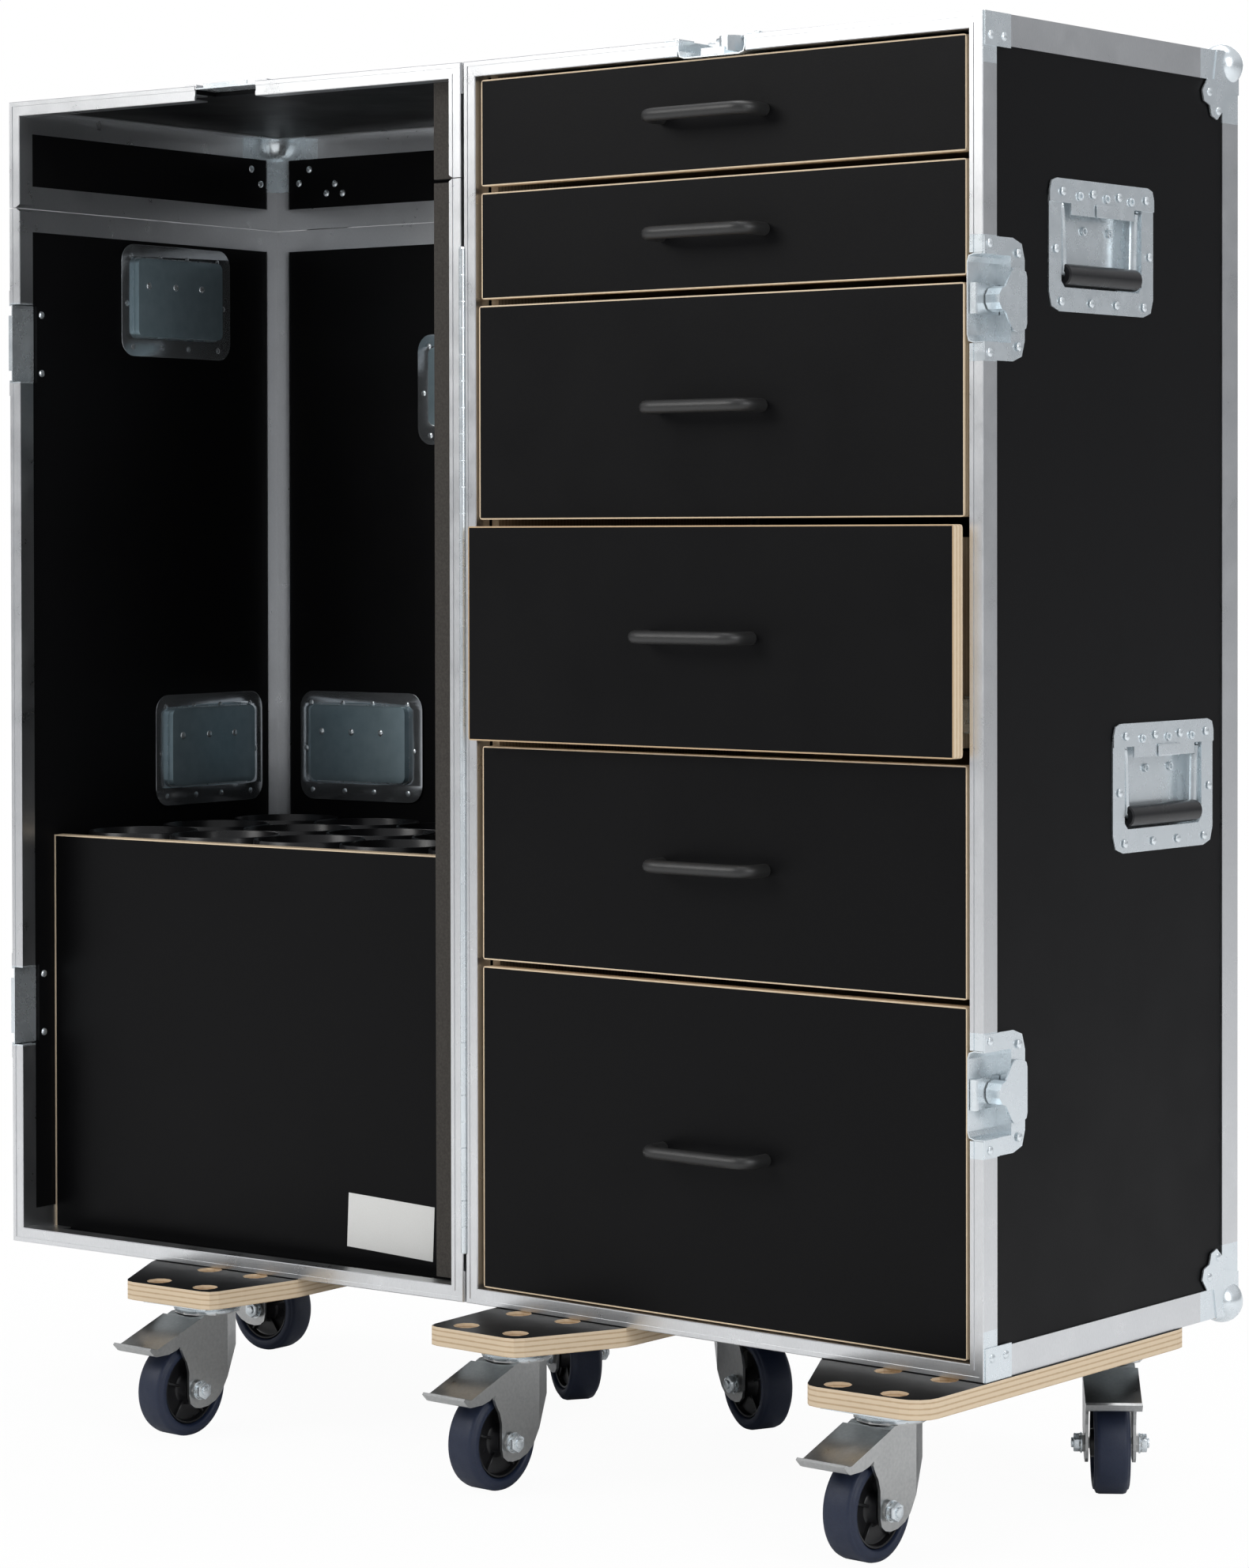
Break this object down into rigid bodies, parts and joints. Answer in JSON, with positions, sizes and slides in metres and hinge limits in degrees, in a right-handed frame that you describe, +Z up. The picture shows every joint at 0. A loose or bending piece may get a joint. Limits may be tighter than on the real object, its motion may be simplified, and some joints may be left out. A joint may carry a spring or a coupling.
{
  "type": "road case with drawers",
  "caption": "Upright road case on swivel castors, opening like a book: drawers with pulls on runners in one half, a tube rack and a hinged lid in the other.",
  "frame": {"origin": "middle of the bounding box in plan, on the floor under the castors", "axes": "+Z up, +X to the right seen from the open front, +Y to the back"},
  "size_m": [1.3518, 0.6472, 1.4487],
  "materials": {
    "laminate": "black fine-textured laminate on plywood",
    "aluminium": "satin extruded",
    "zinc_plated_steel": "bright zinc plated",
    "birch_plywood": "raw edges, dark film faces",
    "black_powder_coat": "matt powder coat",
    "blue_elastic_tyre": "dark blue elastic rubber on a black hub",
    "tube_plastic": "black, matt"
  },
  "bodies": {
    "drawer_half": {"right_shell": "laminate", "right_frame": "aluminium", "right_board": "birch_plywood", "right_handle_upper_dish": "zinc_plated_steel", "right_handle_lower_dish": "zinc_plated_steel"},
    "open_half": {"left_shell": "laminate", "left_frame": "aluminium", "left_board": "birch_plywood", "rack_panel": "laminate", "rack_tubes_rear": "tube_plastic", "rack_tubes_middle": "tube_plastic", "rack_tubes_front": "tube_plastic", "left_handle_side_upper_dish": "zinc_plated_steel", "left_handle_side_lower_dish": "zinc_plated_steel", "left_handle_back_lower_dish": "zinc_plated_steel", "left_handle_back_upper_dish": "zinc_plated_steel"},
    "lid": {"lid_shell": "laminate", "lid_frame": "aluminium"},
    "drawer_1_box": {"drawer_1": "laminate", "drawer_1_pull": "black_powder_coat"},
    "drawer_2_box": {"drawer_2": "laminate", "drawer_2_pull": "black_powder_coat"},
    "drawer_3_box": {"drawer_3": "laminate", "drawer_3_pull": "black_powder_coat"},
    "drawer_4_box": {"drawer_4": "laminate", "drawer_4_pull": "black_powder_coat"},
    "drawer_5_box": {"drawer_5": "laminate", "drawer_5_pull": "black_powder_coat"},
    "drawer_6_box": {"drawer_6": "laminate", "drawer_6_pull": "black_powder_coat"},
    "right_bail_upper": {"right_handle_upper_bail": "zinc_plated_steel"},
    "right_bail_lower": {"right_handle_lower_bail": "zinc_plated_steel"},
    "left_bail_side_upper": {"left_handle_side_upper_bail": "zinc_plated_steel"},
    "left_bail_side_lower": {"left_handle_side_lower_bail": "zinc_plated_steel"},
    "left_bail_back_lower": {"left_handle_back_lower_bail": "zinc_plated_steel"},
    "left_bail_back_upper": {"left_handle_back_upper_bail": "zinc_plated_steel"},
    "wing_upper": {"latch_upper_wing": "zinc_plated_steel"},
    "wing_lower": {"latch_lower_wing": "zinc_plated_steel"},
    "wing_top": {"latch_top_wing": "zinc_plated_steel"},
    "hook_upper": {"latch_upper_hook": "zinc_plated_steel"},
    "hook_lower": {"latch_lower_hook": "zinc_plated_steel"},
    "hook_top": {"latch_top_hook": "zinc_plated_steel"},
    "fork_front_left": {"right_castor_front_left_fork": "zinc_plated_steel"},
    "fork_front_right": {"right_castor_front_right_fork": "zinc_plated_steel"},
    "fork_rear_right": {"right_castor_rear_right_fork": "zinc_plated_steel"},
    "fork_rear_left": {"right_castor_rear_left_fork": "zinc_plated_steel"},
    "fork_nose": {"left_castor_nose_fork": "zinc_plated_steel"},
    "fork_near": {"left_castor_near_fork": "zinc_plated_steel"},
    "fork_far": {"left_castor_far_fork": "zinc_plated_steel"},
    "wheel_front_left": {"right_castor_front_left_wheel": "blue_elastic_tyre"},
    "wheel_front_right": {"right_castor_front_right_wheel": "blue_elastic_tyre"},
    "wheel_rear_right": {"right_castor_rear_right_wheel": "blue_elastic_tyre"},
    "wheel_rear_left": {"right_castor_rear_left_wheel": "blue_elastic_tyre"},
    "wheel_nose": {"left_castor_nose_wheel": "blue_elastic_tyre"},
    "wheel_near": {"left_castor_near_wheel": "blue_elastic_tyre"},
    "wheel_far": {"left_castor_far_wheel": "blue_elastic_tyre"},
    "pedal_front_left": {"right_castor_front_left_pedal": "zinc_plated_steel"},
    "pedal_front_right": {"right_castor_front_right_pedal": "zinc_plated_steel"},
    "pedal_rear_right": {"right_castor_rear_right_pedal": "zinc_plated_steel"},
    "pedal_nose": {"left_castor_nose_pedal": "zinc_plated_steel"}
  },
  "joints": [
    {"name": "case_hinge", "type": "hinge", "parent": "drawer_half", "child": "open_half", "pos_m": [0.00572, -0.14385, 0.7298], "axis": [0, 0, -1], "range_deg": [-176.6, 1]},
    {"name": "lid_hinge", "type": "hinge", "parent": "open_half", "child": "lid", "pos_m": [-0.34554, 0.29709, 1.3213], "axis": [-0.9982, -0.0593, 0], "range_deg": [0, 100]},
    {"name": "drawer_1_slide", "type": "slide", "parent": "drawer_half", "child": "drawer_1_box", "axis": [0, -1, 0], "range_m": [0, 0.3]},
    {"name": "drawer_2_slide", "type": "slide", "parent": "drawer_half", "child": "drawer_2_box", "axis": [0, -1, 0], "range_m": [0, 0.3]},
    {"name": "drawer_3_slide", "type": "slide", "parent": "drawer_half", "child": "drawer_3_box", "axis": [0, -1, 0], "range_m": [-0.004, 0.296]},
    {"name": "drawer_4_slide", "type": "slide", "parent": "drawer_half", "child": "drawer_4_box", "axis": [0, -1, 0], "range_m": [-0.022, 0.278]},
    {"name": "drawer_5_slide", "type": "slide", "parent": "drawer_half", "child": "drawer_5_box", "axis": [0, -1, 0], "range_m": [0, 0.3]},
    {"name": "drawer_6_slide", "type": "slide", "parent": "drawer_half", "child": "drawer_6_box", "axis": [0, -1, 0], "range_m": [0, 0.3]},
    {"name": "right_bail_upper_lift", "type": "hinge", "parent": "drawer_half", "child": "right_bail_upper", "pos_m": [0.64772, 0.06065, 1.2648], "axis": [0, -1, 0], "range_deg": [0, 90]},
    {"name": "right_bail_lower_lift", "type": "hinge", "parent": "drawer_half", "child": "right_bail_lower", "pos_m": [0.64772, 0.17265, 0.7398], "axis": [0, -1, 0], "range_deg": [0, 90]},
    {"name": "left_bail_side_upper_lift", "type": "hinge", "parent": "open_half", "child": "left_bail_side_upper", "pos_m": [-0.65095, 0.08408, 1.2628], "axis": [-0.0593, 0.9982, 0], "range_deg": [0, 90]},
    {"name": "left_bail_side_lower_lift", "type": "hinge", "parent": "open_half", "child": "left_bail_side_lower", "pos_m": [-0.65427, 0.14, 0.7378], "axis": [-0.0593, 0.9982, 0], "range_deg": [0, 90]},
    {"name": "left_bail_back_lower_lift", "type": "hinge", "parent": "open_half", "child": "left_bail_back_lower", "pos_m": [-0.52722, 0.27778, 0.7378], "axis": [0.9982, 0.0593, 0], "range_deg": [0, 90]},
    {"name": "left_bail_back_upper_lift", "type": "hinge", "parent": "open_half", "child": "left_bail_back_upper", "pos_m": [-0.34504, 0.28861, 1.1608], "axis": [0.9982, 0.0593, 0], "range_deg": [0, 90]},
    {"name": "latch_upper_turn", "type": "hinge", "parent": "drawer_half", "child": "wing_upper", "pos_m": [0.65272, -0.11035, 1.1728], "axis": [1, 0, 0], "range_deg": [0, 180]},
    {"name": "latch_lower_turn", "type": "hinge", "parent": "drawer_half", "child": "wing_lower", "pos_m": [0.65272, -0.11035, 0.4278], "axis": [1, 0, 0], "range_deg": [0, 180]},
    {"name": "latch_top_turn", "type": "hinge", "parent": "drawer_half", "child": "wing_top", "pos_m": [0.33172, -0.11035, 1.4398], "axis": [0, 0, 1], "range_deg": [0, 180]},
    {"name": "latch_upper_reach", "type": "slide", "parent": "drawer_half", "child": "hook_upper", "axis": [0, -1, 0], "range_m": [0, 0.008]},
    {"name": "latch_lower_reach", "type": "slide", "parent": "drawer_half", "child": "hook_lower", "axis": [0, -1, 0], "range_m": [0, 0.008]},
    {"name": "latch_top_reach", "type": "slide", "parent": "drawer_half", "child": "hook_top", "axis": [0, -1, 0], "range_m": [0, 0.008]},
    {"name": "swivel_front_left", "type": "hinge", "parent": "drawer_half", "child": "fork_front_left", "pos_m": [0.12073, -0.19335, 0.1205], "axis": [0, 0, 1], "continuous": true},
    {"name": "swivel_front_right", "type": "hinge", "parent": "drawer_half", "child": "fork_front_right", "pos_m": [0.58074, -0.19033, 0.1205], "axis": [0, 0, 1], "continuous": true},
    {"name": "swivel_rear_right", "type": "hinge", "parent": "drawer_half", "child": "fork_rear_right", "pos_m": [0.58771, 0.17166, 0.1205], "axis": [0, 0, 1], "continuous": true},
    {"name": "swivel_rear_left", "type": "hinge", "parent": "drawer_half", "child": "fork_rear_left", "pos_m": [0.12273, 0.16965, 0.1205], "axis": [0, 0, 1], "continuous": true},
    {"name": "swivel_nose", "type": "hinge", "parent": "open_half", "child": "fork_nose", "pos_m": [-0.30078, -0.21165, 0.1205], "axis": [0, 0, 1], "continuous": true},
    {"name": "swivel_near", "type": "hinge", "parent": "open_half", "child": "fork_near", "pos_m": [-0.12198, 0.1676, 0.1205], "axis": [0, 0, 1], "continuous": true},
    {"name": "swivel_far", "type": "hinge", "parent": "open_half", "child": "fork_far", "pos_m": [-0.58717, 0.13996, 0.1205], "axis": [0, 0, 1], "continuous": true},
    {"name": "roll_front_left", "type": "hinge", "parent": "fork_front_left", "child": "wheel_front_left", "pos_m": [0.12073, -0.23235, 0.05], "axis": [1, 0, 0], "continuous": true},
    {"name": "roll_front_right", "type": "hinge", "parent": "fork_front_right", "child": "wheel_front_right", "pos_m": [0.58074, -0.22933, 0.05], "axis": [1, 0, 0], "continuous": true},
    {"name": "roll_rear_right", "type": "hinge", "parent": "fork_rear_right", "child": "wheel_rear_right", "pos_m": [0.61063, 0.14011, 0.05], "axis": [0.809, 0.5878, 0], "continuous": true},
    {"name": "roll_rear_left", "type": "hinge", "parent": "fork_rear_left", "child": "wheel_rear_left", "pos_m": [0.15849, 0.1541, 0.05], "axis": [0.3987, 0.9171, 0], "continuous": true},
    {"name": "roll_nose", "type": "hinge", "parent": "fork_nose", "child": "wheel_nose", "pos_m": [-0.30078, -0.25065, 0.05], "axis": [1, 0, 0], "continuous": true},
    {"name": "roll_near", "type": "hinge", "parent": "fork_near", "child": "wheel_near", "pos_m": [-0.08927, 0.14636, 0.05], "axis": [0.5446, 0.8387, 0], "continuous": true},
    {"name": "roll_far", "type": "hinge", "parent": "fork_far", "child": "wheel_far", "pos_m": [-0.54817, 0.13996, 0.05], "axis": [0, 1, 0], "continuous": true},
    {"name": "brake_front_left", "type": "hinge", "parent": "fork_front_left", "child": "pedal_front_left", "pos_m": [0.12073, -0.23535, 0.1205], "axis": [1, 0, 0], "range_deg": [0, 10]},
    {"name": "brake_front_right", "type": "hinge", "parent": "fork_front_right", "child": "pedal_front_right", "pos_m": [0.58074, -0.23233, 0.1205], "axis": [1, 0, 0], "range_deg": [0, 10]},
    {"name": "brake_rear_right", "type": "hinge", "parent": "fork_rear_right", "child": "pedal_rear_right", "pos_m": [0.6124, 0.13768, 0.1205], "axis": [0.809, 0.5878, 0], "range_deg": [0, 10]},
    {"name": "brake_nose", "type": "hinge", "parent": "fork_nose", "child": "pedal_nose", "pos_m": [-0.30078, -0.25365, 0.1205], "axis": [1, 0, 0], "range_deg": [0, 10]}
  ],
  "couplings": [
    {"joint": "latch_upper_reach", "follows": "latch_upper_turn", "m_per_rad": 0.002546},
    {"joint": "latch_lower_reach", "follows": "latch_lower_turn", "m_per_rad": 0.002546},
    {"joint": "latch_top_reach", "follows": "latch_top_turn", "m_per_rad": 0.002546}
  ]
}
